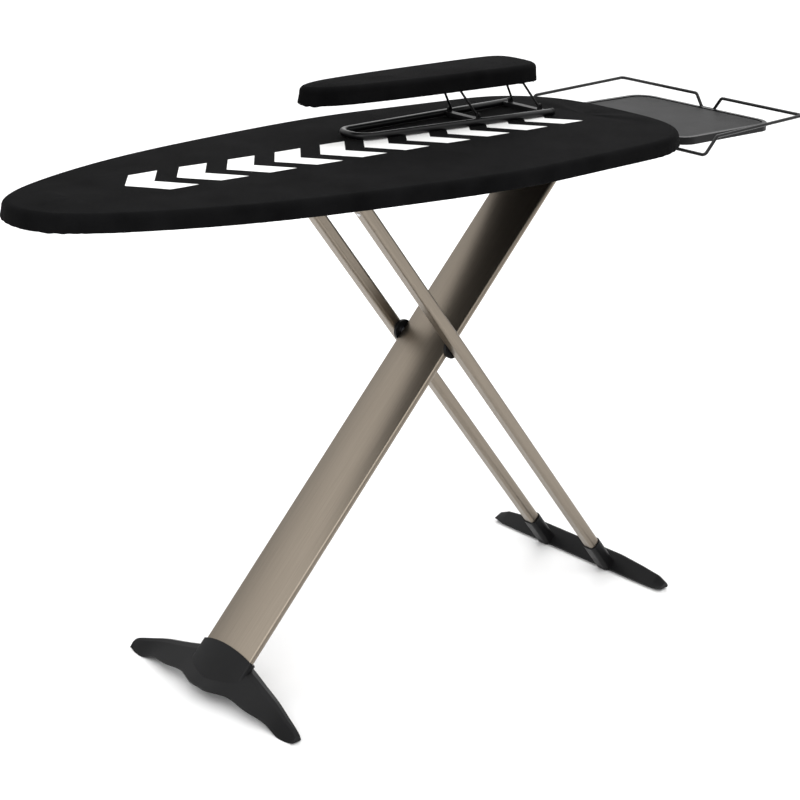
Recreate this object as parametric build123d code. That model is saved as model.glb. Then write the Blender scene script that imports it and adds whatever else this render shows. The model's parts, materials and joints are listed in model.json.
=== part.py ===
from build123d import *
import math
import os

os.makedirs("parts", exist_ok=True)

# A folding ironing board with a wide front leg, two narrow rear legs, a fold-down
# sleeve board, an iron rest and a swinging wire rack.
# X runs along the board with the pointed nose at -X, Y runs across it, Z is up, and the
# feet stand on Z = 0. All lengths are millimetres.

# ---- driving dimensions: the board -------------------------------------------------
board_top = 877.0          # top of the cloth cover, the working height
board_depth = 28.0         # cover depth from its top to its hem
nose_x = -777.0
blunt_x = 515.5
half_outline = [(-743, 72), (-651, 124), (-481, 181), (-241, 224),
                (37, 247.5), (269, 234), (421, 208), (487, 150)]
cover_cloth = 1.5
edge_step = 4.0            # step round the top edge of the cloth covers
felt_thick = 4.8
panel_thick = 0.9
rim_width = 16.0
rim_depth = 16.0
fit_gap = 0.2              # air between stacked sheets
hem_lip = 26.0
rib_thick = 6.0

# ---- driving dimensions: the legs --------------------------------------------------
hinge_x, hinge_z = 326.0, 828.0          # pin of the wide leg, under the board
cross_x, cross_z = 48.9, 527.7           # axle where the legs cross
slide_x, slide_z = -221.7, 848.0         # sliding bar of the narrow legs
wide_leg_width, wide_leg_thick, wide_leg_wall = 116.4, 26.0, 2.2
narrow_leg_y, narrow_leg_width, narrow_leg_thick, narrow_leg_wall = 77.3, 27.0, 22.0, 1.8
hinge_pin_r, cross_axle_r, slide_bar_r, roller_r = 5.0, 6.0, 7.0, 9.0
running_gap = 0.05
folded_slide_x = -499.0                  # sliding bar when the legs are folded
front_foot_x, rear_foot_x = -421.5, 488.0
front_foot_half, rear_foot_half = 214.0, 214.0

# ---- driving dimensions: iron rest and wire rack -----------------------------------
rest_half, rest_end_x, rest_inner_x = 160.0, 769.5, 497.0
rest_top, rest_depth, rest_rim = 852.0, 13.7, 8.0
rack_wire_r, rack_half, rack_end_x = 3.0, 215.0, 774.0
rack_pivot_x, rack_pivot_z = 494.0, 834.0

# ---- driving dimensions: sleeve board ----------------------------------------------
sleeve_y = 77.0
sleeve_nose_x, sleeve_end_x = -183.5, 331.0
sleeve_top, sleeve_depth = 974.0, 32.0
sleeve_frame_r, sleeve_frame_z = 6.0, 883.8
sleeve_frame_end_x, sleeve_frame_nose_x = 353.0, -84.0
low_pivot_z, high_pivot_z, bracket_lean = 892.0, 939.0, 36.0
rear_pivot_x, front_pivot_x = 343.0, 188.5
bracket_wire_r, bracket_half, bracket_top_half = 2.0, 31.0, 21.0


def save(shape, name):
    """Writes one node and prints its volume."""
    shape.label = name
    export_step(shape, "parts/" + name + ".step")
    print(name, round(shape.volume))


def box_between(low, high):
    """A box from its lowest to its highest corner."""
    size = [b - a for a, b in zip(low, high)]
    middle = [(a + b) / 2 for a, b in zip(low, high)]
    return Pos(*middle) * Box(*size)


def rod_y(x, z, radius, y_low, y_high):
    """A round rod that runs along Y."""
    return Pos(x, (y_low + y_high) / 2, z) * Rot(90, 0, 0) * Cylinder(radius, y_high - y_low)


def mirrored_face(points):
    """A plan face from the points of its far half, one smooth closed curve."""
    near = [(x, -y) for x, y in points[1:-1]]
    rim = Spline(*near, points[-1], *reversed(points[1:-1]), points[0], periodic=True)
    face = make_face(rim).face()
    return face if face.normal_at().Z > 0 else -face


def board_face(inset=0.0):
    """The plan of the board, drawn in by inset all round."""
    middle = (nose_x + blunt_x) / 2
    half_length = (blunt_x - nose_x) / 2
    half_width = max(y for _, y in half_outline)
    kx = (half_length - inset) / half_length
    ky = (half_width - inset) / half_width
    far = [(middle + (x - middle) * kx, y * ky) for x, y in half_outline]
    return mirrored_face([(nose_x + inset, 0), *far, (blunt_x - inset, 0)])


def slab(face, z_low, z_high):
    """A plan face made into a plate between two heights."""
    return Pos(0, 0, z_low) * extrude(face, z_high - z_low)


def plate_ring(face, outer_inset, inner_inset, z_low, z_high):
    """A ring between two insets of a plan function."""
    return slab(face(outer_inset), z_low, z_high) - slab(face(inner_inset), z_low - 1, z_high + 1)


def wire_rod(points, radius, bends):
    """A round rod along straight runs joined by arcs."""
    path = FilletPolyline(*points, radius=bends)
    start = Plane(origin=path @ 0, z_dir=path % 0)
    return sweep(start * Circle(radius), path=path)


# ---- the board ---------------------------------------------------------------------
cover_low = board_top - board_depth
felt_high = board_top - cover_cloth - fit_gap
felt_low = felt_high - felt_thick
panel_high = felt_low - fit_gap
panel_low = panel_high - panel_thick
rim_high = panel_low
rim_low = rim_high - rim_depth
rib_low = panel_low - rib_thick


def cloth_shell(face, low, top, lip):
    """A cloth cover from a plan function: top sheet, stepped shoulder, skirt and a hem that turns in."""
    shoulder = top - edge_step
    skirt = plate_ring(face, 0, 1.8, low, shoulder)
    step = plate_ring(face, 0, edge_step + cover_cloth, shoulder - cover_cloth, shoulder)
    riser = plate_ring(face, edge_step, edge_step + cover_cloth, shoulder - 0.5, top)
    top_sheet = slab(face(edge_step), top - cover_cloth, top)
    hem = plate_ring(face, 0, lip, low, low + cover_cloth)
    return (skirt + step) + (riser + top_sheet) + hem


def make_panel():
    """The steel top sheet with rows of steam slots."""
    slot_length, slot_width, pitch_x, pitch_y = 30, 7, 62, 46
    sheet = board_face(9)
    keep = board_face(34)
    slots = []
    for column in range(-13, 9):
        for row in range(-5, 6):
            x = column * pitch_x + (pitch_x / 2 if row % 2 else 0)
            y = row * pitch_y
            ends_inside = all(keep.is_inside(Vector(x + s * slot_length / 2, y + t * slot_width, 0))
                              for s in (-1, 1) for t in (-1, 1))
            if ends_inside:
                slots.append(Pos(x, y) * SlotOverall(slot_length, slot_width))
    return slab(sheet - slots, panel_low, panel_high)


save(cloth_shell(board_face, cover_low, board_top, hem_lip), "board_cover")
save(slab(board_face(8), felt_low, felt_high), "board_felt")
save(make_panel(), "board_panel")
save(plate_ring(board_face, 3, 3 + rim_width, rim_low, rim_high), "board_rim")

cross_rib_places = {"nose_rib": -560.0, "middle_rib": -300.0, "leg_rib": 60.0, "rest_rib": 400.0}
for name, x in cross_rib_places.items():
    strip = slab(Pos(x, 0) * Rectangle(26, 600) & board_face(3.4 + rim_width), rib_low, panel_low)
    save(strip, name)

long_rib_y, long_rib_low, long_rib_start = 46.0, 850.2, -200.0
for side, name in ((-1, "long_rib_near"), (1, "long_rib_far")):
    rib = box_between((long_rib_start, side * long_rib_y - 9, long_rib_low), (470, side * long_rib_y + 9, rib_low))
    rib -= box_between((long_rib_start - 10, side * long_rib_y - 7.4, long_rib_low + 1.6),
                       (480, side * long_rib_y + 7.4, rib_low - 1.6))
    save(rib, name)

# ---- hinge of the wide leg ---------------------------------------------------------
ear_inner, ear_thick = 62.0, 3.0
bracket = box_between((hinge_x - 32, -ear_inner - ear_thick, 846.8), (hinge_x + 32, ear_inner + ear_thick, 850.0))
for side in (-1, 1):
    y_low = min(side * ear_inner, side * (ear_inner + ear_thick))
    ear = box_between((hinge_x - 24, y_low, hinge_z), (hinge_x + 24, y_low + ear_thick, 848))
    ear += rod_y(hinge_x, hinge_z, 12, y_low, y_low + ear_thick)
    ear += box_between((hinge_x - 12, y_low, hinge_z - 1), (hinge_x + 12, y_low + ear_thick, 848))
    bracket += ear
bracket -= rod_y(hinge_x, hinge_z, hinge_pin_r + running_gap, -80, 80)
save(bracket, "leg_hinge_bracket")
pin_head = ear_inner + ear_thick
hinge_pin = rod_y(hinge_x, hinge_z, hinge_pin_r, -pin_head - 1, pin_head + 1)
for side in (-1, 1):
    ends = sorted((side * (pin_head + 0.2), side * (pin_head + 3.2)))
    hinge_pin += rod_y(hinge_x, hinge_z, 8, *ends)
save(hinge_pin, "leg_hinge_pin")

# ---- rails that guide the sliding bar ----------------------------------------------
rail_y, rail_thick, rail_low, rail_spare = 95.6, 3.0, 833.0, 12.0
rail_flange = 2.4
slot_half = roller_r + 2.6
slot_from, slot_to = folded_slide_x - roller_r - 3, slide_x + roller_r + 3
for side, name in ((-1, "height_rail_near"), (1, "height_rail_far")):
    inner, outer = side * rail_y, side * (rail_y + rail_thick)
    web = box_between((slot_from - rail_spare, min(inner, outer), rail_low), (slot_to + 26, max(inner, outer), rib_low))
    flange_out = side * (rail_y + rail_thick + 0.1)
    flange = box_between((slot_from - rail_spare, min(inner, flange_out), rib_low - rail_flange),
                         (slot_to + 26, max(inner, flange_out), rib_low))
    slot = box_between((slot_from, -140, slide_z - slot_half), (slot_to, 140, slide_z + slot_half))
    save(web + flange - slot, name)

# ---- the release lever -------------------------------------------------------------
# A flat pawl stands just outside the near rail's slot and its teeth hang over the bar's
# end. A rod runs from it to a grip inside the near edge of the board.
lever_y, lever_thick = -103.0, 3.0
lever_pivot_x, lever_pivot_z = -166.0, 856.0
pawl_low, pawl_high = slide_z + slide_bar_r + 0.6, 861.5
pawl = box_between((-246, lever_y - lever_thick, pawl_low), (lever_pivot_x, lever_y, pawl_high))
pawl += box_between((lever_pivot_x, lever_y - lever_thick, 851), (lever_pivot_x + 16, lever_y, pawl_high))
pawl += rod_y(lever_pivot_x, lever_pivot_z, 5.5, lever_y - lever_thick, lever_y)
for notch in range(3):
    pawl -= rod_y(slide_x - 6 + 20 * notch, pawl_low - 4.0, 6.4, -120, -90)
pawl -= rod_y(lever_pivot_x, lever_pivot_z, 2.5 + running_gap, -120, -90)
grip_x, grip_z = -116.0, 848.0
rod_y_start = lever_y - lever_thick / 2
handle_rod = wire_rod([(lever_pivot_x + 11, rod_y_start, lever_pivot_z - 1), (grip_x, rod_y_start, grip_z),
                       (grip_x, -196, grip_z)], 3.0, 9)
save(pawl + handle_rod, "release_lever")
grip = rod_y(grip_x, grip_z, 6.0, -199, -158) - rod_y(grip_x, grip_z, 3.1, -196.2, -150)
save(grip, "lever_grip")
near_rail_outer = -(rail_y + rail_thick)
pivot = rod_y(lever_pivot_x, lever_pivot_z, 2.5, lever_y - lever_thick - 0.6, near_rail_outer - 0.05)
pivot += rod_y(lever_pivot_x, lever_pivot_z, 5, lever_y - lever_thick - 2.6, lever_y - lever_thick - 0.4)
pivot += rod_y(lever_pivot_x, lever_pivot_z, 5, lever_y + 0.4, near_rail_outer - 0.05)
save(pivot, "lever_pivot")

# ---- the wide leg ------------------------------------------------------------------
leg_dx, leg_dz = hinge_x - cross_x, hinge_z - cross_z
hinge_from_cross = math.hypot(leg_dx, leg_dz)
wide_up = Vector(leg_dx, 0, leg_dz).normalized()
wide_plane = Plane(origin=(cross_x, 0, cross_z), x_dir=(0, 1, 0), z_dir=wide_up)


def wide_section(grow=0.0):
    """Flat oval: two shallow bowed faces with round edges, grown outwards by grow."""
    half = wide_leg_width / 2 + grow
    thick = wide_leg_thick / 2 + grow
    edge = 0.42 * thick
    corner = half - edge * 0.55
    bowed = ThreePointArc((-corner, edge), (0, thick), (corner, edge))
    right = ThreePointArc((corner, edge), (half, 0), (corner, -edge))
    under = ThreePointArc((corner, -edge), (0, -thick), (-corner, -edge))
    left = ThreePointArc((-corner, -edge), (-half, 0), (-corner, edge))
    return make_face([bowed, right, under, left])


def along_wide_leg(section, start, end):
    """Extrudes a leg section between two distances above the cross axle."""
    return wide_plane * (Pos(0, 0, start) * extrude(section, end - start))


def leg_distance(z):
    """Distance along the wide leg from the cross axle to height z."""
    return (z - cross_z) / wide_up.Z


foot_socket_low = leg_distance(26)
foot_socket_high = leg_distance(68)
leg_tube_high = hinge_from_cross - 14
tube = along_wide_leg(wide_section(), foot_socket_low + 4, leg_tube_high)
tube -= along_wide_leg(wide_section(-wide_leg_wall), foot_socket_low, leg_tube_high + 5)
tube -= rod_y(cross_x, cross_z, cross_axle_r + running_gap, -100, 100)
save(tube, "wide_leg_tube")

plug = along_wide_leg(wide_section(-wide_leg_wall - 0.1), leg_tube_high - 40, leg_tube_high + 0.1)
plug += along_wide_leg(wide_section(), leg_tube_high + 0.1, hinge_from_cross)
plug += rod_y(hinge_x, hinge_z, 12.4, -wide_leg_width / 2, wide_leg_width / 2)
plug += rod_y(hinge_x, hinge_z, 9.5, -ear_inner + 0.4, ear_inner - 0.4)
plug -= rod_y(hinge_x, hinge_z, hinge_pin_r + running_gap, -100, 100)
save(plug, "wide_leg_plug")

bush_inner, bush_outer = wide_leg_width / 2 + 0.3, narrow_leg_y - narrow_leg_width / 2 - 0.3
for side, name in ((-1, "axle_bush_near"), (1, "axle_bush_far")):
    ends = sorted((side * bush_inner, side * bush_outer))
    bush = rod_y(cross_x, cross_z, 19, *ends) - rod_y(cross_x, cross_z, cross_axle_r + running_gap, -100, 100)
    save(bush, name)
axle_end = narrow_leg_y + narrow_leg_width / 2 - 3
axle = rod_y(cross_x, cross_z, cross_axle_r, -axle_end, axle_end)
save(axle - rod_y(cross_x, cross_z, cross_axle_r - 2, -100, 100), "cross_axle")

# ---- the front foot ----------------------------------------------------------------
# Half stations from the middle outwards. Each has the distance from the middle, then four
# corners of an upright section: low front, top front, top back and low back.
foot_stations = [
    (0, (-448.5, 23), (-386, 63), (-362, 56), (-376, 9)),
    (24, (-448, 23.5), (-386, 62), (-363, 55), (-377, 10)),
    (46, (-440, 25), (-386, 60), (-366, 54), (-380, 12)),
    (80, (-434, 22), (-389, 53), (-373, 48), (-386, 13)),
    (130, (-431, 16), (-398, 42.5), (-385, 39), (-394, 9)),
    (172, (-427, 2), (-407.5, 32.5), (-396, 29), (-398, 0)),
    (196, (-426, -2), (-412.5, 25.5), (-402, 22), (-399, -2)),
    (front_foot_half, (-424, 3), (-415.5, 14.5), (-407, 12.5), (-404, 3)),
]
foot_tip_cap = 187.0
front_corner_cuts = (0.06, 0.16, 0.22, 0.12)


def foot_section(y, corners, corner_cuts):
    """One upright section of a foot, each corner cut by its share of the two sides."""
    points = []
    for here, (x, z) in enumerate(corners):
        for other in (here - 1, (here + 1) % len(corners)):
            ox, oz = corners[other]
            cut = corner_cuts[here]
            points.append((x + (ox - x) * cut, z + (oz - z) * cut))
    sheet = Plane(origin=(0, y, 0), x_dir=(1, 0, 0), z_dir=(0, -1, 0))
    return sheet * make_face(Polyline(*points, close=True))


far_sections = [foot_section(y, corners, front_corner_cuts) for y, *corners in foot_stations]
near_sections = [foot_section(-y, corners, front_corner_cuts) for y, *corners in reversed(foot_stations[1:])]
foot_body = loft(near_sections + far_sections)
collar_grow, rim_arch_r = 5.0, 240.0
collar = along_wide_leg(wide_section(collar_grow), leg_distance(24), foot_socket_high + 6)
arch_middle = wide_plane * Pos(0, 0, foot_socket_high + 4 - rim_arch_r) * Rot(90, 0, 0)
collar &= arch_middle * Cylinder(rim_arch_r, 200)
front_foot = foot_body + collar
front_foot -= along_wide_leg(wide_section(0.15), foot_socket_low + 3.8, foot_socket_high + 15)
front_foot -= box_between((front_foot_x - 200, -300, -60), (front_foot_x + 200, 300, 0))
cap_cut = {}
for side in (-1, 1):
    y_low, y_high = sorted((side * foot_tip_cap, side * (front_foot_half + 20)))
    cap_cut[side] = box_between((front_foot_x - 60, y_low, -5), (front_foot_x + 90, y_high, 60))
for side, name in ((-1, "front_foot_cap_near"), (1, "front_foot_cap_far")):
    save(front_foot & cap_cut[side], name)
save(front_foot - cap_cut[-1] - cap_cut[1], "front_foot")

# ---- the narrow legs ---------------------------------------------------------------
bar_dx, bar_dz = slide_x - cross_x, slide_z - cross_z
slide_from_cross = math.hypot(bar_dx, bar_dz)
narrow_up = Vector(bar_dx, 0, bar_dz).normalized()


def narrow_plane(side):
    """Section plane of a narrow leg at the cross axle, Z up the leg."""
    return Plane(origin=(cross_x, side * narrow_leg_y, cross_z), x_dir=(0, 1, 0), z_dir=narrow_up)


def narrow_section(grow=0.0):
    """Rounded rectangle of the narrow leg, grown outwards by grow."""
    return RectangleRounded(narrow_leg_width + 2 * grow, narrow_leg_thick + 2 * grow, 6.5 + grow)


def narrow_distance(z):
    """Distance along a narrow leg from the cross axle to height z, negative below it."""
    return (z - cross_z) / narrow_up.Z


narrow_low = narrow_distance(22)
narrow_high = slide_from_cross + 13
for side, name in ((-1, "narrow_leg_near"), (1, "narrow_leg_far")):
    leg = narrow_plane(side) * (Pos(0, 0, narrow_low) * extrude(narrow_section(), narrow_high - narrow_low))
    hollow = extrude(narrow_section(-narrow_leg_wall), narrow_high - narrow_low + 2)
    leg -= narrow_plane(side) * (Pos(0, 0, narrow_low - 1) * hollow)
    inner_face = narrow_leg_y - narrow_leg_width / 2
    bore_ends = sorted((side * (inner_face - 3), side * (axle_end + 0.5)))
    leg -= rod_y(cross_x, cross_z, cross_axle_r + running_gap, *bore_ends)
    leg -= rod_y(slide_x, slide_z, slide_bar_r + running_gap, -130, 130)
    save(leg, name)
for side, name in ((-1, "narrow_leg_cap_near"), (1, "narrow_leg_cap_far")):
    cap = narrow_plane(side) * (Pos(0, 0, narrow_high + 0.1) * extrude(narrow_section(), 3))
    cap += narrow_plane(side) * (Pos(0, 0, narrow_high - 4.5) * extrude(narrow_section(-narrow_leg_wall - 0.1), 5))
    save(cap, name)

slide_bar = rod_y(slide_x, slide_z, slide_bar_r, -101.5, 101.5) - rod_y(slide_x, slide_z, slide_bar_r - 1.6, -110, 110)
save(slide_bar, "sliding_bar")
for side, name in ((-1, "slide_roller_near"), (1, "slide_roller_far")):
    ends = sorted((side * (rail_y - 1.6), side * (rail_y + rail_thick + 1.4)))
    roller = rod_y(slide_x, slide_z, roller_r, *ends) - rod_y(slide_x, slide_z, slide_bar_r + running_gap, -130, 130)
    save(roller, name)

# ---- the rear foot -----------------------------------------------------------------
# Half stations from the middle outwards: low front, crest, top back, low back and the
# front of the sole. The face from the low front edge to the crest takes the legs.
rear_front_edge, rear_crest = (478.5, 5.5), (503.0, 32.5)
rear_stations = [
    (0, rear_front_edge, rear_crest, (514, 26), (521, 0), (484, 0)),
    (100, rear_front_edge, rear_crest, (514, 26), (521, 0), (484, 0)),
    (150, rear_front_edge, (502.5, 28.5), (512, 22.5), (518, 0), (484, 0)),
    (194, (479.5, 5.5), (501.5, 23.5), (510, 18), (514, 0), (485, 0)),
    (rear_foot_half, (482, 7), (500, 15), (506, 12), (509, 4), (486, 4)),
]
rear_corner_cuts = (0.05, 0.08, 0.2, 0.15, 0.1)
rear_tip_cap = 186.0
far_sections = [foot_section(y, corners, rear_corner_cuts) for y, *corners in rear_stations]
near_sections = [foot_section(-y, corners, rear_corner_cuts) for y, *corners in reversed(rear_stations[1:])]
rear_foot = loft(near_sections + far_sections, ruled=True)
face_slope = (rear_crest[1] - rear_front_edge[1]) / (rear_crest[0] - rear_front_edge[0])


def rear_face_z(x):
    """Height of the rear foot's front face at x, a little inside the plastic."""
    return rear_front_edge[1] + (x - rear_front_edge[0] - 2.5) * face_slope


above_face = Polyline((430, rear_face_z(430)), (520, rear_face_z(520)), (520, 140), (430, 140), close=True)
above_face = extrude(Plane(origin=(0, 150, 0), x_dir=(1, 0, 0), z_dir=(0, -1, 0)) * make_face(above_face), 300)
rim_distance = narrow_distance(67)
for side in (-1, 1):
    block = extrude(narrow_section(2.4), rim_distance - narrow_distance(-20))
    rear_foot += (narrow_plane(side) * (Pos(0, 0, narrow_distance(-20)) * block)) & above_face
    socket = narrow_plane(side) * (Pos(0, 0, narrow_low - 0.2) * extrude(narrow_section(0.15), 200))
    rear_foot -= socket
rear_foot -= box_between((rear_foot_x - 200, -300, -60), (rear_foot_x + 200, 300, 0))
rear_cap_cut = {}
for side in (-1, 1):
    y_low, y_high = sorted((side * rear_tip_cap, side * (rear_foot_half + 20)))
    rear_cap_cut[side] = box_between((rear_foot_x - 60, y_low, -5), (rear_foot_x + 90, y_high, 60))
for side, name in ((-1, "rear_foot_cap_near"), (1, "rear_foot_cap_far")):
    save(rear_foot & rear_cap_cut[side], name)
save(rear_foot - rear_cap_cut[-1] - rear_cap_cut[1], "rear_foot")

# ---- the iron rest -----------------------------------------------------------------
rest_mid_x, rest_length = (rest_inner_x + rest_end_x) / 2, rest_end_x - rest_inner_x


def rest_plan(inset, corner):
    """Plan of the iron rest with its inner edge cut to follow the board's blunt end."""
    plan = Pos(rest_mid_x, 0) * RectangleRounded(rest_length - 2 * inset, 2 * (rest_half - inset), corner)
    return plan - board_face(-3.0 - inset)


rest_bottom = rest_top - rest_depth
tray = slab(rest_plan(0, 38), rest_bottom, rest_top)
tray -= slab(rest_plan(rest_rim, 31), rest_top - 3.2, rest_top + 1)
tray -= slab(rest_plan(2.5, 36), rest_bottom - 1, rest_bottom + 7.5)
save(tray, "iron_rest_tray")
save(slab(rest_plan(rest_rim + 0.3, 30.7), rest_top - 3.0, rest_top - 1.6), "iron_rest_plate")
tray_floor = rest_bottom + 7.5
for side, name in ((-1, "rest_arm_near"), (1, "rest_arm_far")):
    y = side * 80.0
    arm = box_between((380, y - 11, 834.0), (560, y + 11, 837.6))
    arm += box_between((560 - 3.6, y - 11, 834.0), (560, y + 11, tray_floor - 0.2))
    arm += box_between((556.4, y - 11, tray_floor - 3.8), (700, y + 11, tray_floor - 0.2))
    post = box_between((388, y - 9, 837.6), (412, y + 9, rib_low))
    save(arm + post, name)
screws = [Pos(x, side * 80.0, tray_floor - 5.3) * Cylinder(4.5, 2.6) for x in (600, 670) for side in (-1, 1)]
save(Compound(children=[screw for screw in screws]), "iron_rest_screws")
for side, name in ((-1, "rack_clip_near"), (1, "rack_clip_far")):
    y = side * 120.0
    clip = box_between((486, y - 7, 829), (532, y + 7, 838.0))
    clip -= rod_y(rack_pivot_x, rack_pivot_z, rack_wire_r + running_gap, -200, 200)
    save(clip, name)
save(box_between((rest_end_x + 0.2, -13, 838.5), (777, 13, 845.9)), "rack_rest")

# ---- the swinging wire rack --------------------------------------------------------
arm_x, arm_z, end_z, dip_z = 523.5, 864.0, 873.5, 849.0
rack_far = [(rack_pivot_x, 106, rack_pivot_z), (rack_pivot_x, rack_half, rack_pivot_z), (arm_x, rack_half, arm_z),
            (rack_end_x, rack_half, end_z), (rack_end_x, 30, end_z), (rack_end_x, 14, dip_z)]
rack_near = [(x, -y, z) for x, y, z in reversed(rack_far)]
save(wire_rod(rack_far + rack_near, rack_wire_r, 7), "wire_rack")

# ---- the sleeve board's base frame -------------------------------------------------
nose_half, end_half = 29.0, 54.0
nose_centre_x = sleeve_frame_nose_x + nose_half
frame_points = [
    (sleeve_frame_end_x, sleeve_y - end_half), (nose_centre_x - 24, sleeve_y - nose_half),
    (nose_centre_x - 24, sleeve_y + nose_half), (sleeve_frame_end_x, sleeve_y + end_half),
]
frame_path = FilletPolyline(*[(x, y, sleeve_frame_z) for x, y in frame_points], radius=26)
start = Plane(origin=frame_path @ 0, z_dir=frame_path % 0)
save(sweep(start * (Circle(sleeve_frame_r) - Circle(sleeve_frame_r - 1.2)), path=frame_path), "sleeve_frame")
taper = math.atan2(end_half - nose_half, sleeve_frame_end_x - nose_centre_x + 24)
for side, name in ((-1, "sleeve_frame_cap_near"), (1, "sleeve_frame_cap_far")):
    place = Pos(sleeve_frame_end_x, sleeve_y + side * end_half, sleeve_frame_z) * Rot(0, 0, side * math.degrees(taper))
    knob = Pos(2.1, 0, 0) * Rot(0, 90, 0) * Cylinder(6.6, 4) + Pos(-4, 0, 0) * Rot(0, 90, 0) * Cylinder(4.6, 8.4)
    save(place * knob, name)


def half_frame_width(x):
    """Half distance between the frame tubes' centre lines at x."""
    return nose_half + (x - nose_centre_x + 24) * math.tan(taper)


lug_y = bracket_half + 4.5
for name, x in (("sleeve_rear_bar", rear_pivot_x), ("sleeve_front_bar", front_pivot_x)):
    reach = half_frame_width(x) - sleeve_frame_r - 0.9
    bar = box_between((x - 7, sleeve_y - reach, sleeve_frame_z - 4), (x + 7, sleeve_y + reach, sleeve_frame_z + 3))
    for side in (-1, 1):
        lug = box_between((x - 4.5, sleeve_y + side * lug_y - 2, sleeve_frame_z + 2),
                          (x + 4.5, sleeve_y + side * lug_y + 2, low_pivot_z))
        bar += lug + rod_y(x, low_pivot_z, 4.5, sleeve_y + side * lug_y - 2, sleeve_y + side * lug_y + 2)
    bar -= rod_y(x, low_pivot_z, bracket_wire_r + running_gap, -100, 300)
    save(bar, name)

# ---- the sleeve board's brackets ---------------------------------------------------


def make_bracket(low_x):
    """A bent wire: a foot in each lug, two leaning sides and a top bar."""
    high_x = low_x - bracket_lean
    far = [(low_x, sleeve_y + bracket_half + 8, low_pivot_z), (low_x, sleeve_y + bracket_half, low_pivot_z),
           (high_x, sleeve_y + bracket_top_half, high_pivot_z)]
    near = [(x, 2 * sleeve_y - y, z) for x, y, z in reversed(far)]
    return wire_rod(far + near, bracket_wire_r, 3.2)


save(make_bracket(rear_pivot_x), "sleeve_rear_bracket")
save(make_bracket(front_pivot_x), "sleeve_front_bracket")

# ---- the sleeve board --------------------------------------------------------------
sleeve_outline = [(-175, 16), (-150, 29), (-80, 42), (60, 51), (200, 55.5), (280, 55), (318, 44), (329, 24)]


def sleeve_face(inset=0.0):
    """The plan of the sleeve board, drawn in by inset all round."""
    middle = (sleeve_nose_x + sleeve_end_x) / 2
    half_length = (sleeve_end_x - sleeve_nose_x) / 2
    half_width = max(y for _, y in sleeve_outline)
    kx = (half_length - inset) / half_length
    ky = (half_width - inset) / half_width
    far = [(middle + (x - middle) * kx, y * ky) for x, y in sleeve_outline]
    return Pos(0, sleeve_y) * mirrored_face([(sleeve_nose_x + inset, 0), *far, (sleeve_end_x - inset, 0)])


sleeve_low = sleeve_top - sleeve_depth
platform_low, platform_thick = 951.6, 2.0
save(cloth_shell(sleeve_face, sleeve_low, sleeve_top, 11), "sleeve_cover")
save(slab(sleeve_face(3), platform_low, platform_low + platform_thick), "sleeve_platform")
sleeve_pad = slab(sleeve_face(6.5), platform_low + platform_thick + 0.2, sleeve_top - cover_cloth - fit_gap)
save(sleeve_pad, "sleeve_felt")
for name, low_x in (("rear_saddles", rear_pivot_x), ("front_saddles", front_pivot_x)):
    x = low_x - bracket_lean
    blocks = []
    for side in (-1, 1):
        y = sleeve_y + side * 11
        block = box_between((x - 5, y - 3.5, high_pivot_z - 3.4), (x + 5, y + 3.5, platform_low))
        blocks.append(block - rod_y(x, high_pivot_z, bracket_wire_r + 0.08, y - 10, y + 10))
    save(Compound(children=blocks), name)
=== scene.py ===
# %% [markdown]
# This file dresses a folding ironing board in Blender. The steel and plastic parts come
# from the CAD model as they are, and get finishes here. The soft parts, which are the
# padded cloth covers, are made again as real cloth shapes, because a CAD solid has sharp
# shoulders and no folds. Everything is in metres in the CAD model's own frame: +X runs
# along the board from the pointed nose to the iron rest, and +Z is up.
# %% Load the CAD model as the frame
import json
import math

import bmesh
import bpy
import numpy as np
from mathutils import Matrix, Vector


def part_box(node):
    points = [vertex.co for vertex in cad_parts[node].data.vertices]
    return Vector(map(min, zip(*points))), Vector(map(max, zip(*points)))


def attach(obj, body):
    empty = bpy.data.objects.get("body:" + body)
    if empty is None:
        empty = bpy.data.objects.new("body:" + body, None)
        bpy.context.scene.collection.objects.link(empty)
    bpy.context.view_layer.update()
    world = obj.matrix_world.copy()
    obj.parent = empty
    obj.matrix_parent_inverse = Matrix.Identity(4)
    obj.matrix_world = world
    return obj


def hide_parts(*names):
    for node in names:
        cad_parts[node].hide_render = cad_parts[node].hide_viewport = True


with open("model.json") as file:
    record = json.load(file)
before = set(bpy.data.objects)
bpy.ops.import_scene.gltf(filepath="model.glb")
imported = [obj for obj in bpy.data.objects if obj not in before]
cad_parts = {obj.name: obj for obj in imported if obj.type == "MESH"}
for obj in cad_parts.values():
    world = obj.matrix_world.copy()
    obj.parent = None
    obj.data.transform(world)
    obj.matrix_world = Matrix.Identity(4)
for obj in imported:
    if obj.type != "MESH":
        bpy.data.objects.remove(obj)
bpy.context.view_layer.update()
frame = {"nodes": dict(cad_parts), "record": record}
scene = bpy.context.scene

# %% [markdown]
# The camera stands in front of the nose, to the near side, at eye height, and looks down
# by twenty degrees. A long lens keeps the far end of the board from shrinking. It is turned
# by two angles and rolled slightly, as a hand-held camera is. Its matrix is worked out from
# the three unit vectors to its right, up and ahead, which avoids any doubt about the order
# of Euler angles.
# %% Camera
camera_place = (-2.23922, -2.2779, 1.56684)
yaw, pitch, roll = 0.7746, 0.3431, 0.04489
level_ahead = np.array([math.sin(yaw), math.cos(yaw), 0.0])
ahead = math.cos(pitch) * level_ahead - math.sin(pitch) * np.array([0.0, 0.0, 1.0])
level_right = np.array([math.cos(yaw), -math.sin(yaw), 0.0])
level_up = np.cross(level_right, ahead)
right = math.cos(roll) * level_right + math.sin(roll) * level_up
up = math.cos(roll) * level_up - math.sin(roll) * level_right
camera_data = bpy.data.cameras.new("camera")
camera_data.sensor_width = 36.0
camera_data.lens = 88.878
camera = bpy.data.objects.new("camera", camera_data)
scene.collection.objects.link(camera)
axes_and_place = [[right[i], up[i], -ahead[i], camera_place[i]] for i in range(3)]
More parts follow.
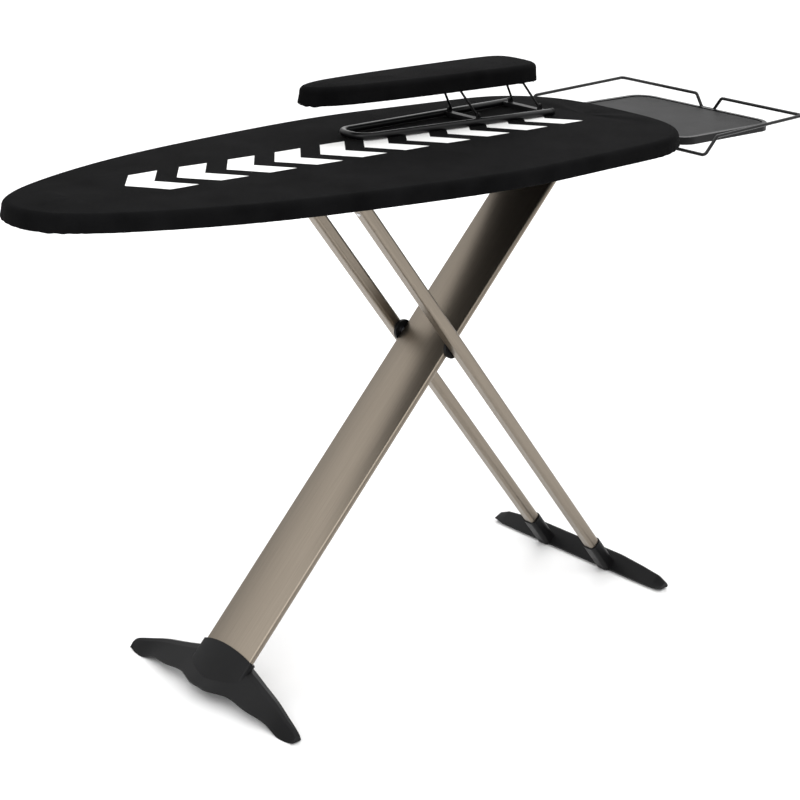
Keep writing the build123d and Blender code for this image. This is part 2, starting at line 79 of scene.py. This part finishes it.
camera.matrix_world = Matrix(axes_and_place + [[0, 0, 0, 1]])
scene.camera = camera
print("camera lens", camera_data.lens, "mm")

# %% [markdown]
# A studio for a black object needs broad, soft light, because black cloth and black
# plastic show their shape only by what they reflect. One large lamp stands to the left of
# the camera, a wide one hangs overhead, and a lower one behind gives the far edges a rim.
# The world is bright overhead and greyer towards the horizon, so metal has something to
# mirror, while the backdrop itself is seen as plain white.
# %% Lights, world and floor


def area_light(name, place, target, size, power):
    """A square lamp at place whose beam points at target; power is in watts."""
    data = bpy.data.lights.new(name, "AREA")
    data.shape, data.size, data.energy = "SQUARE", size, power
    lamp = bpy.data.objects.new(name, data)
    away = Vector(place) - Vector(target)
    lamp.matrix_world = Matrix.Translation(place) @ away.to_track_quat("Z", "Y").to_matrix().to_4x4()
    scene.collection.objects.link(lamp)


middle = (0.0, 0.0, 0.6)
area_light("key_lamp", (-2.6, -1.6, 2.4), middle, 2.2, 32)
area_light("overhead_lamp", (0.3, 0.4, 3.4), middle, 3.0, 10)
area_light("rim_lamp", (2.6, 2.4, 1.8), middle, 2.0, 16)

world = bpy.data.worlds.new("studio")
scene.world = world
world.use_nodes = True
sky_tree = world.node_tree
direction = sky_tree.nodes.new("ShaderNodeTexCoord")
height = sky_tree.nodes.new("ShaderNodeSeparateXYZ")
sky = sky_tree.nodes.new("ShaderNodeValToRGB")
seen = sky_tree.nodes.new("ShaderNodeLightPath")
choice = sky_tree.nodes.new("ShaderNodeMix")
choice.data_type = "RGBA"
horizon_grey, zenith_grey, backdrop_grey = 0.34, 1.75, 1.0
for element, grey, place in zip(sky.color_ramp.elements, (horizon_grey, zenith_grey), (0.05, 0.75)):
    element.color = (grey, grey, grey, 1.0)
    element.position = place
choice.inputs["B"].default_value = (backdrop_grey, backdrop_grey, backdrop_grey, 1.0)
sky_tree.links.new(direction.outputs["Generated"], height.inputs["Vector"])
sky_tree.links.new(height.outputs["Z"], sky.inputs["Fac"])
sky_tree.links.new(sky.outputs["Color"], choice.inputs["A"])
sky_tree.links.new(seen.outputs["Is Camera Ray"], choice.inputs["Factor"])
sky_tree.links.new(choice.outputs["Result"], sky_tree.nodes["Background"].inputs["Color"])
sky_tree.nodes["Background"].inputs["Strength"].default_value = 1.0
scene.view_settings.view_transform = "Standard"

# %% [markdown]
# A finish in Blender is a small network of nodes. Three helpers keep the recipes short:
# one makes an empty material with its Principled shader, one adds a node and fills its
# sockets, and one gives the pattern coordinates. Patterns read Object coordinates, which
# are plain metres here, so a weave or a brushed line has its true size on every piece.
# %% Material helpers


def new_finish(name, colour, roughness, metallic=0.0):
    """A material whose Principled shader has one colour, roughness and metalness."""
    finish = bpy.data.materials.new(name)
    finish.use_nodes = True
    shader = finish.node_tree.nodes["Principled BSDF"]
    shader.inputs["Base Color"].default_value = (*colour, 1.0)
    shader.inputs["Roughness"].default_value = roughness
    shader.inputs["Metallic"].default_value = metallic
    return finish, finish.node_tree, shader


def add(tree, kind, settings=None, **sockets):
    """Adds a node. settings are its properties, and sockets are values or other sockets.

    A socket is named by its label, with _ for a space, or by i and its number, such as i0.
    """
    made = tree.nodes.new(kind)
    for key, value in (settings or {}).items():
        setattr(made, key, value)
    for key, value in sockets.items():
        numbered = key[0] == "i" and key[1:].isdigit()
        socket = made.inputs[int(key[1:]) if numbered else key.replace("_", " ")]
        if isinstance(value, bpy.types.NodeSocket):
            tree.links.new(value, socket)
        else:
            socket.default_value = value
    return made


def metres(tree, turn_y=0.0, stretch=(1.0, 1.0, 1.0)):
    """Object coordinates, turned about Y and then stretched, as a vector socket."""
    place = add(tree, "ShaderNodeTexCoord").outputs["Object"]
    turned = add(tree, "ShaderNodeMapping", Vector=place, Rotation=(0.0, turn_y, 0.0))
    stretched = add(tree, "ShaderNodeMapping", Vector=turned.outputs["Vector"], Scale=stretch)
    return stretched.outputs["Vector"]


def noise(tree, vector, scale, detail=3.0, rough=0.55):
    """Cloudy noise with values near one half, in cycles per metre."""
    cloud = add(tree, "ShaderNodeTexNoise", Vector=vector, Scale=scale, Detail=detail, Roughness=rough)
    return cloud.outputs["Fac"]


def maths(tree, operation, a, b=0.0):
    """One sum on sockets or numbers."""
    return add(tree, "ShaderNodeMath", {"operation": operation}, i0=a, i1=b).outputs[0]


def between(tree, value, low, high, to_low=0.0, to_high=1.0):
    """Carries value from the range low to high over to the range to_low to to_high."""
    limits = {"From_Min": low, "From_Max": high, "To_Min": to_low, "To_Max": to_high}
    return add(tree, "ShaderNodeMapRange", Value=value, **limits).outputs["Result"]


def ramp(tree, value, stops):
    """A colour ramp; each stop is a place from 0 to 1 and a grey or an RGB colour."""
    made = add(tree, "ShaderNodeValToRGB", Fac=value)
    band = made.color_ramp
    for place, _ in stops[1:-1]:
        band.elements.new(place)
    for element, (place, colour) in zip(band.elements, stops):
        element.position = place
        element.color = (*colour, 1.0) if hasattr(colour, "__len__") else (colour,) * 3 + (1.0,)
    return made.outputs["Color"]


def bump(tree, shader, height, strength, distance):
    """Joins a height pattern to the shader's normal. distance is its depth in metres."""
    made = add(tree, "ShaderNodeBump", Height=height, Strength=strength, Distance=distance)
    tree.links.new(made.outputs["Normal"], shader.inputs["Normal"])


# %% [markdown]
# The covers are black cotton. Black cloth isn't flat black: its threads catch light, and
# the nap gives it a faint bloom at a glancing angle, which is what Sheen is for. The weave
# is crossing sets of waves a little over a millimetre apart, used as height only. The waves
# along X show on the flat top and those along Z on the sides. A slow cloudy noise makes the
# colour uneven, as washed cotton is.
# %% Cotton for the covers
weave_pitch = 0.0013
weave_share = 0.25
slubs = 900.0


def cotton_height(tree):
    """Plain weave: sin(x) plus sin(z), times sin(y), at the thread pitch, plus a slubby noise."""
    place = add(tree, "ShaderNodeSeparateXYZ", Vector=metres(tree))
    rate = 2 * math.pi / weave_pitch
    waves = {}
    for axis in "XYZ":
        waves[axis] = maths(tree, "SINE", maths(tree, "MULTIPLY", place.outputs[axis], rate))
    weave = maths(tree, "MULTIPLY", maths(tree, "ADD", waves["X"], waves["Z"]), waves["Y"])
    slub_height = noise(tree, metres(tree), slubs)
    return maths(tree, "ADD", maths(tree, "MULTIPLY", weave, weave_share), slub_height)


def cotton_colour(tree):
    """Near black, a little lighter where a slow noise is high."""
    cloud = noise(tree, metres(tree), 14.0, 4.0)
    return ramp(tree, cloud, [(0.3, (0.0028, 0.0028, 0.0030)), (0.7, (0.0058, 0.0058, 0.0061))])


def cotton(name):
    """Matt cloth with its sheen and weave. The caller joins a colour to its shader."""
    finish, tree, shader = new_finish(name, (0.012, 0.012, 0.013), 0.92)
    shader.inputs["Sheen Weight"].default_value = 0.008
    shader.inputs["Sheen Roughness"].default_value = 0.4
    shader.inputs["Specular IOR Level"].default_value = 0.02
    bump(tree, shader, cotton_height(tree), 0.35, 0.0004)
    return finish, tree, shader


plain_cotton, tree, shader = cotton("black_cotton")
tree.links.new(cotton_colour(tree), shader.inputs["Base Color"])
print("made", plain_cotton.name)

# %% [markdown]
# A white print runs along the board. It is a row of plain chevrons that point at the nose.
# It is ink in the cloth rather than a piece of its own, so it belongs in the material. A
# chevron is a set of points whose distance along the board, less a share of their distance
# from the print's centre line, falls in the first part of each repeat. Its arms trail behind
# its point, so the last point stops short of the print's end by that trail. The ink is kept
# off the cover's sides and underside by its height.
# %% Printed cotton for the top cover
print_from, print_to = -0.575, 0.372
print_half_width = 0.051
print_centre_y = 0.014
chevron_pitch = 0.0947
chevron_share = 0.56
chevron_lean = 0.85
chevron_trail = 0.045
print_above = 0.872
ink_edge = 0.0012
side_fade = 0.001

printed_cotton, tree, shader = cotton("printed_cotton")
place = add(tree, "ShaderNodeSeparateXYZ", Vector=metres(tree))
from_centre = maths(tree, "ABSOLUTE", maths(tree, "SUBTRACT", place.outputs["Y"], print_centre_y))
along = maths(tree, "SUBTRACT", place.outputs["X"], maths(tree, "MULTIPLY", from_centre, chevron_lean))
repeats = maths(tree, "DIVIDE", maths(tree, "SUBTRACT", along, print_from), chevron_pitch)
repeat = maths(tree, "FRACT", repeats)


def past(value, edge, width):
    """Rises from 0 to 1 as value passes edge, over width."""
    return between(tree, value, edge - width / 2, edge + width / 2)


def short_of(value, edge, width):
    """Falls from 1 to 0 as value passes edge, over width."""
    return maths(tree, "SUBTRACT", 1.0, past(value, edge, width))


ink = short_of(repeat, chevron_share, ink_edge / chevron_pitch)
for limit in (short_of(from_centre, print_half_width, ink_edge), past(along, print_from, ink_edge),
              short_of(along, print_to - chevron_trail, ink_edge),
              past(place.outputs["Z"], print_above, side_fade)):
    ink = maths(tree, "MULTIPLY", ink, limit)
wear = ramp(tree, noise(tree, metres(tree), 700.0), [(0.25, 0.90), (0.45, 1.0)])
mixed = add(tree, "ShaderNodeMix", {"data_type": "RGBA"}, Factor=maths(tree, "MULTIPLY", ink, wear))
tree.links.new(cotton_colour(tree), mixed.inputs["A"])
mixed.inputs["B"].default_value = (0.83, 0.83, 0.82, 1.0)
tree.links.new(mixed.outputs["Result"], shader.inputs["Base Color"])
print("made", printed_cotton.name, "with", round((print_to - print_from) / chevron_pitch), "repeats")

# %% [markdown]
# The legs are aluminium tube, brushed along their length and anodised a warm bronze. The
# brushing is noise stretched ninety times along the tube. Each leg stands at its own
# slant, so the coordinates are first turned about Y until one axis lies along the tube.
# %% Bronze anodised aluminium


def brushed_bronze(name, slant):
    """Satin metal whose fine lines run at slant radians above +X, in the XZ plane."""
    finish, tree, shader = new_finish(name, (0.25, 0.215, 0.17), 0.34, 1.0)
    lines = noise(tree, metres(tree, slant, (1.0, 90.0, 90.0)), 9.0, 6.0, 0.6)
    tint = ramp(tree, lines, [(0.25, (0.215, 0.183, 0.146)), (0.75, (0.270, 0.233, 0.190))])
    tree.links.new(tint, shader.inputs["Base Color"])
    tree.links.new(between(tree, lines, 0.0, 1.0, 0.28, 0.42), shader.inputs["Roughness"])
    bump(tree, shader, lines, 0.25, 0.00015)
    return finish


def centre_of(node):
    """The middle of a CAD part's box."""
    low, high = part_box(node)
    return (np.array(low) + np.array(high)) / 2


hinge_at, axle_at, bar_at = centre_of("leg_hinge_pin"), centre_of("cross_axle"), centre_of("sliding_bar")
wide_slant = math.atan2(hinge_at[2] - axle_at[2], hinge_at[0] - axle_at[0])
narrow_slant = math.atan2(bar_at[2] - axle_at[2], bar_at[0] - axle_at[0])
wide_bronze = brushed_bronze("bronze_wide_leg", wide_slant)
narrow_bronze = brushed_bronze("bronze_narrow_leg", narrow_slant)
print("leg slants", round(math.degrees(wide_slant), 1), round(math.degrees(narrow_slant), 1))

# %% [markdown]
# The other parts need six more finishes: moulded black plastic with a fine grain, black
# powder coat with a slight orange peel, black coated wire, which is smoother, zinc-plated
# steel, the near-black heatproof coat of the iron rest, and grey felt.
# %% Plastics, coats and plated steel


def grained(name, colour, roughness, grain, depth, spread=0.06, metallic=0.0, gloss=0.5):
    """A finish with cloudy roughness and a grain of so many cycles per metre."""
    finish, tree, shader = new_finish(name, colour, roughness, metallic)
    shader.inputs["Specular IOR Level"].default_value = gloss
    cloud = noise(tree, metres(tree), 22.0, 4.0)
    rough = between(tree, cloud, 0.0, 1.0, roughness - spread, roughness + spread)
    tree.links.new(rough, shader.inputs["Roughness"])
    darker, lighter = [c * 0.85 for c in colour], [min(1.0, c * 1.15) for c in colour]
    tree.links.new(ramp(tree, cloud, [(0.3, darker), (0.7, lighter)]), shader.inputs["Base Color"])
    bump(tree, shader, noise(tree, metres(tree), grain, 2.0), 0.3, depth)
    return finish


plastic_black = (0.006, 0.006, 0.0064)
black_plastic = grained("moulded_black_plastic", plastic_black, 0.40, 1400.0, 0.0002, gloss=0.14)
dark_coat = grained("black_powder_coat", (0.008, 0.008, 0.0085), 0.48, 620.0, 0.0002, gloss=0.15)
wire_coat = grained("black_wire_coat", (0.004, 0.004, 0.0044), 0.34, 500.0, 0.0001, gloss=0.25)
plated = grained("zinc_plate", (0.62, 0.62, 0.63), 0.28, 800.0, 0.00005, 0.08, 1.0)
rest_coat = grained("iron_rest_coat", (0.010, 0.010, 0.0104), 0.6, 900.0, 0.0003, gloss=0.12)
grey_felt = grained("grey_felt", (0.42, 0.42, 0.41), 0.9, 1500.0, 0.0006)

finish_of_slot = {
    "cover_cloth": plain_cotton, "felt": grey_felt, "dark_steel": dark_coat, "bright_steel": plated,
    "black_plastic": black_plastic, "rest_plate": rest_coat, "black_wire": wire_coat,
}
slot_of_node = {part["node"]: part["material_slot"] for part in frame["record"]["subparts"]}
finish_of_node = {
    "wide_leg_tube": wide_bronze, "narrow_leg_near": narrow_bronze, "narrow_leg_far": narrow_bronze,
}


def dress(piece, finish):
    """Gives a mesh one material and nothing else."""
    piece.data.materials.clear()
    piece.data.materials.append(finish)


for node_name, node_object in frame["nodes"].items():
    dress(node_object, finish_of_node.get(node_name) or finish_of_slot[slot_of_node[node_name]])
print("dressed", len(frame["nodes"]), "CAD parts")

# %% [markdown]
# Both covers have the same make: cloth over a pad, pulled round the edge by a cord in the
# hem. So one function makes both. The plan outline is read from the CAD cover, as the far
# reach of its points in many directions, which is exact for an outline with no hollows. It
# is then spaced evenly along its length, made the same on both sides of its middle line, and
# smoothed by keeping its slow waves only.
# %% Plan outline of a cover


directions = 4000
same_point = 1e-5


def plan_outline(node, count, waves):
    """Closed curve of a cover in plan: count points, anticlockwise from the nose.

    The reach in direction a is the point with the largest x cos a + y sin a. The points are
    spaced by arc length, and waves is how many Fourier terms of x + iy are kept.
    """
    flat = np.empty(len(node.data.vertices) * 3)
    node.data.vertices.foreach_get("co", flat)
    flat = flat.reshape(-1, 3)[:, :2]
    angle = np.linspace(math.pi, 3 * math.pi, directions, endpoint=False)
    reach = flat @ np.array([np.cos(angle), np.sin(angle)])
    hull = flat[reach.argmax(0)]
    hull = hull[np.r_[True, np.hypot(*np.diff(hull, axis=0).T) > same_point]]
    loop = np.vstack([hull, hull[:1]])
    length = np.r_[0, np.cumsum(np.hypot(*np.diff(loop, axis=0).T))]
    even = np.linspace(0, length[-1], count, endpoint=False)
    curve = np.interp(even, length, loop[:, 0]) + 1j * np.interp(even, length, loop[:, 1])
    centre_y = (flat[:, 1].max() + flat[:, 1].min()) / 2
    curve = (curve + np.conj(np.roll(curve[::-1], 1)) + 2j * centre_y) / 2
    terms = np.fft.fft(curve)
    terms[waves:-waves] = 0
    curve = np.fft.ifft(terms)
    return np.stack([curve.real, curve.imag], 1), length[-1], centre_y


def outward(curve):
    """Unit normals of a closed anticlockwise curve: its tangent turned a quarter right."""
    along = np.roll(curve, -1, 0) - np.roll(curve, 1, 0)
    along /= np.hypot(*along.T)[:, None]
    return np.stack([along[:, 1], -along[:, 0]], 1)


def loop_noise(count, length, shortest, longest, rng):
    """Sum of sine waves that closes on itself, with wavelengths between two limits."""
    turns = np.arange(int(length / longest), int(length / shortest) + 1)
    place = np.linspace(0, 2 * math.pi, count, endpoint=False)[:, None]
    size = rng.normal(size=len(turns)) / np.sqrt(len(turns))
    return (size * np.sin(turns * place + rng.uniform(0, 2 * math.pi, len(turns)))).sum(1)


# %% [markdown]
# The cover is one closed skin: out over the top, round the soft shoulder, down the side,
# under the edge to the hem, and back inside. Its plan position is the outline moved inwards
# by an inset, and near the middle it runs on to a spine line, so that the rings shrink to a
# line instead of crossing. Gathers are waves along the hem that die out up the side, larger
# where the outline turns sharply, because that is where spare cloth has to go.
# %% Cover shape


edge_turn = 0.004
inner_turn = 0.006
inner_chamfer = 0.003
pad_ring = 0.03
top_ring_count, under_ring_count = 22, 8
pad_wave = 0.0006
pad_wave_shortest, pad_wave_longest = 0.12, 0.8
bend_step, bend_window = 3, 41
least_gather, most_bend = 0.35, 1.6
hem_drop = 0.5


def cover_points(curve, length, centre_y, shape, rng):
    """Grid of points, one row per profile place and one column per outline point.

    shape holds: top, low, shoulder (radius), lip (hem width), under (height of the pad's
    underside), wall (cloth thickness), gather (depth of the hem waves), ripple (their
    shortest wavelength), loft (how far the middle of the top stands above its edge) and
    spine (how far the spine line stops short of each end).
    """
    count = len(curve)
    normal = outward(curve)
    r, top, low, wall = shape["shoulder"], shape["top"], shape["low"], shape["wall"]
    quarter = np.linspace(0, math.pi / 2, 9)[1:]
    edge = np.stack([r - r * np.sin(quarter), top - r + r * np.cos(quarter)], 1)
    side = np.stack([np.zeros(6), np.linspace(top - r, low + edge_turn, 7)[1:]], 1)
    tuck = np.stack([edge_turn * (1 - np.cos(quarter)), low + edge_turn * (1 - np.sin(quarter))], 1)
    hem = np.stack([np.linspace(edge_turn, shape["lip"], 9)[1:], np.full(8, low)], 1)
    outer = np.vstack([edge, side, tuck, hem])
    under = shape["under"]
    back = np.array([
        [shape["lip"], low + wall], [wall + inner_turn, low + wall], [wall, low + inner_turn],
        [wall, under - inner_chamfer], [wall + inner_chamfer, under], [pad_ring, under],
    ])
    profile = np.vstack([outer, back])
    spine = np.clip(curve[:, 0], curve[:, 0].min() + shape["spine"], curve[:, 0].max() - shape["spine"])
    spine = np.stack([spine, np.full(count, centre_y)], 1)

    # Outer and inner rings: the outline moved along its normal by the profile's inset.
    rings = curve[None] - profile[:, 0, None, None] * normal[None]
    heights = np.repeat(profile[:, 1, None], count, 1)
    # Top rings: shares of the way from the spine to the start of the shoulder.
    share = np.sin(np.linspace(0, math.pi / 2, top_ring_count))
    start = curve - r * normal
    top_rings = spine[None] + (start - spine)[None] * share[:, None, None]
    under_share = np.linspace(1, 0, under_ring_count)[1:]
    inner = rings[-1]
    under_rings = spine[None] + (inner - spine)[None] * under_share[:, None, None]
    # Soft waves of the pad, largest halfway out, and a crown that is highest along the spine.
    halfway = 4 * share[:, None] * (1 - share[:, None])
    wave = loop_noise(count, length, pad_wave_shortest, pad_wave_longest, rng)[None] * halfway
    crown = shape["loft"] * (1 - share[:, None] ** 2)
    top_heights = top + crown + pad_wave * wave - shape["loft"]
    heights[:len(outer)] -= shape["loft"] * np.clip((outer[:, 1, None] - top + r) / r, 0, 1)

    # Gathers: outward waves on the side and under the edge, none on the shoulder. bend is the
    # sine of the turn over a few points, averaged along the outline.
    onward = np.roll(normal, -bend_step, 0)
    bend = np.abs(normal[:, 0] * onward[:, 1] - normal[:, 1] * onward[:, 0])
    reach = bend_window // 2
    joined = np.r_[bend[-reach:], bend, bend[:reach]]
    bend = np.convolve(joined, np.ones(bend_window) / bend_window, "valid")
    bend = least_gather + np.clip(bend / bend.mean() / 2, 0, most_bend)
    ripple = np.abs(loop_noise(count, length, shape["ripple"], shape["ripple"] * 4, rng)) ** 0.8
    down = np.clip((top - r - outer[:, 1]) / (top - r - low), 0, 1) ** 1.3
    push = shape["gather"] * down[:, None] * (ripple * bend)[None]
    rings[:len(outer)] += push[..., None] * normal[None]
    under_edge = outer[:, 0] > edge_turn
    fade = np.linspace(1, 0.3, under_edge.sum())[:, None]
    heights[:len(outer)][under_edge] -= hem_drop * push[under_edge] * fade

    plan = np.concatenate([top_rings, rings, under_rings])
    z = np.concatenate([top_heights, heights, np.full((len(under_share), count), under)])
    return np.concatenate([plan, z[..., None]], 2)


def grid_faces(rows, columns):
    """Quads of a grid of points that closes round its columns."""
    index = np.arange(rows * columns).reshape(rows, columns)
    turned = np.roll(index, -1, 1)
    return np.stack([index[:-1], index[1:], turned[1:], turned[:-1]], -1).reshape(-1, 4)


def mesh_piece(name, points, faces, merge=0.0, smooth=True):
    """An object from points and faces. Points nearer than merge are made one."""
    data = bpy.data.meshes.new(name)
    data.from_pydata(points.reshape(-1, 3), [], faces)
    work = bmesh.new()
    work.from_mesh(data)
    if merge:
        bmesh.ops.remove_doubles(work, verts=work.verts, dist=merge)
        bmesh.ops.dissolve_degenerate(work, edges=work.edges, dist=merge / 10)
    bmesh.ops.recalc_face_normals(work, faces=work.faces)
    work.to_mesh(data)
    work.free()
    if smooth:
        data.polygons.foreach_set("use_smooth", np.ones(len(data.polygons), bool))
    piece = bpy.data.objects.new(name, data)
    scene.collection.objects.link(piece)
    print(name, len(data.vertices), "points,", len(data.polygons), "faces")
    return piece


def skin(name, points):
    """Closed mesh of a grid whose first and last rows fold onto themselves and are sewn up."""
    return mesh_piece(name, points, grid_faces(*points.shape[:2]), merge=1e-5)


# %% [markdown]
# The top cover lies over felt and a steel sheet. Its inside stops just above that sheet,
# so this one skin is both the cloth and the pad. It hides the CAD model's cloth and felt.
# %% The board's cover
cover_low_corner, cover_high_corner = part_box("board_cover")
panel_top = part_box("board_panel")[1].z
board_curve, board_length, board_y = plan_outline(frame["nodes"]["board_cover"], 900, 70)
board_shape = {
    "top": cover_high_corner.z, "low": cover_low_corner.z, "shoulder": 0.011, "lip": 0.026,
    "under": panel_top + 0.0002, "wall": 0.0016, "gather": 0.0014, "loft": 0.0006, "spine": 0.10,
    "ripple": 0.024,
}
board_points = cover_points(board_curve, board_length, board_y, board_shape, np.random.default_rng(7))
board_cover = skin("padded_board_cover", board_points)
dress(board_cover, printed_cotton)
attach(board_cover, "board")
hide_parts("board_cover", "board_felt")
print("outline", round(board_length, 3), "m round")

# %% [markdown]
# The sleeve board has the same kind of cover, on a smaller and rounder pad.
# %% The sleeve board's cover
sleeve_low_corner, sleeve_high_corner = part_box("sleeve_cover")
platform_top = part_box("sleeve_platform")[1].z
sleeve_curve, sleeve_length, sleeve_y = plan_outline(frame["nodes"]["sleeve_cover"], 480, 50)
sleeve_shape = {
    "top": sleeve_high_corner.z, "low": sleeve_low_corner.z, "shoulder": 0.010, "lip": 0.011,
    "under": platform_top + 0.0002, "wall": 0.0016, "gather": 0.0015, "loft": 0.0012, "spine": 0.045,
    "ripple": 0.022,
}
sleeve_points = cover_points(
    sleeve_curve, sleeve_length, sleeve_y, sleeve_shape, np.random.default_rng(11))
sleeve_cover = skin("padded_sleeve_cover", sleeve_points)
dress(sleeve_cover, plain_cotton)
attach(sleeve_cover, "sleeve_board")
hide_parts("sleeve_cover", "sleeve_felt")
print("outline", round(sleeve_length, 3), "m round")

# %% [markdown]
# Under each edge the hem is turned round a cord and sewn, which leaves a thin round welt.
# It is a tube: a small circle carried along the outline at the hem's inset.
# %% Hem welts


def tube(name, path, radius, sides=10):
    """Closed tube: at each path point a circle in the plane of its outward normal and Z."""
    turn = np.linspace(0, 2 * math.pi, sides, endpoint=False)
    normal = np.c_[outward(path[:, :2]), np.zeros(len(path))]
    upward = np.array([0, 0, 1.0])
    circle = np.cos(turn)[:, None, None] * normal[None] + np.sin(turn)[:, None, None] * upward
    points = path[None] + radius * circle
    index = np.arange(sides * len(path)).reshape(sides, len(path))
    turned, onward = np.roll(index, -1, 0), np.roll(index, -1, 1)
    faces = np.stack([index, turned, np.roll(turned, -1, 1), onward], -1).reshape(-1, 4)
    return mesh_piece(name, points, faces)


welt_radius = 0.0016
welt_from_lip, welt_rise = 0.001, 0.0006
for name, curve, shape, body in (("board_hem_welt", board_curve, board_shape, "board"),
                                 ("sleeve_hem_welt", sleeve_curve, sleeve_shape, "sleeve_board")):
    inner = curve[::2] - (shape["lip"] - welt_from_lip) * outward(curve)[::2]
    welt = tube(name, np.c_[inner, np.full(len(inner), shape["low"] + welt_rise)], welt_radius)
    dress(welt, plain_cotton)
    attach(welt, body)

# %% [markdown]
# A plated screw holds each narrow leg's end fitting. It sits on the leg's lower front face,
# a little below the sliding bar. Its head is a low dome: a profile turned about an axis
# that points straight out of that face.
# %% Leg screws
leg_along = np.array([math.cos(narrow_slant), 0.0, math.sin(narrow_slant)])
face_out = np.array([-leg_along[2], 0.0, leg_along[0]])
face_out *= -np.sign(face_out[2])
screw_drop, head_radius, head_height = 0.056, 0.0042, 0.0018
leg_half_thick = 0.011
head_profile = np.array([(0, 1), (0.35, 0.97), (0.65, 0.82), (0.88, 0.5), (1, 0.1), (1, -0.3)])
head_sides = 24
head_rows, head_points = len(head_profile), len(head_profile) * head_sides
turn = np.linspace(0, 2 * math.pi, head_sides, endpoint=False)
across = np.array([0.0, 1.0, 0.0])
ring = np.cos(turn)[:, None] * across + np.sin(turn)[:, None] * np.cross(face_out, across)
head = head_profile[:, 0, None, None] * head_radius * ring[None]
head = head + head_profile[:, 1, None, None] * head_height * face_out
heads, head_faces = [], []
for node in ("narrow_leg_near", "narrow_leg_far"):
    centre = bar_at - leg_along * screw_drop + face_out * leg_half_thick
    centre[1] = centre_of(node)[1]
    first = len(heads) * head_points
    head_faces += (grid_faces(head_rows, head_sides) + first).tolist()
    head_faces.append(list(range(first + head_points - head_sides, first + head_points)))
    heads.append((centre + head).reshape(-1, 3))
leg_screws = mesh_piece("leg_screws", np.vstack(heads), head_faces, merge=1e-6, smooth=False)
dress(leg_screws, plated)
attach(leg_screws, "rear_legs")
print("screws at", np.round(centre, 4))

# %% [markdown]
# The floor is one large pale plane. It is not part of the object.
# %% Floor
floor_half = 12.0
floor_data = bpy.data.meshes.new("floor")
corners = np.array([(-1, -1), (1, -1), (1, 1), (-1, 1)]) * floor_half
floor_data.from_pydata([(x, y, 0.0) for x, y in corners], [], [(0, 1, 2, 3)])
floor = bpy.data.objects.new("floor", floor_data)
scene.collection.objects.link(floor)
floor_finish, tree, shader = new_finish("floor_paint", (0.88, 0.88, 0.88), 0.6)
floor_grey = ramp(tree, noise(tree, metres(tree), 1.5), [(0.3, 0.87), (0.7, 0.89)])
tree.links.new(floor_grey, shader.inputs["Base Color"])
dress(floor, floor_finish)
print("floor", floor_half * 2, "m wide")
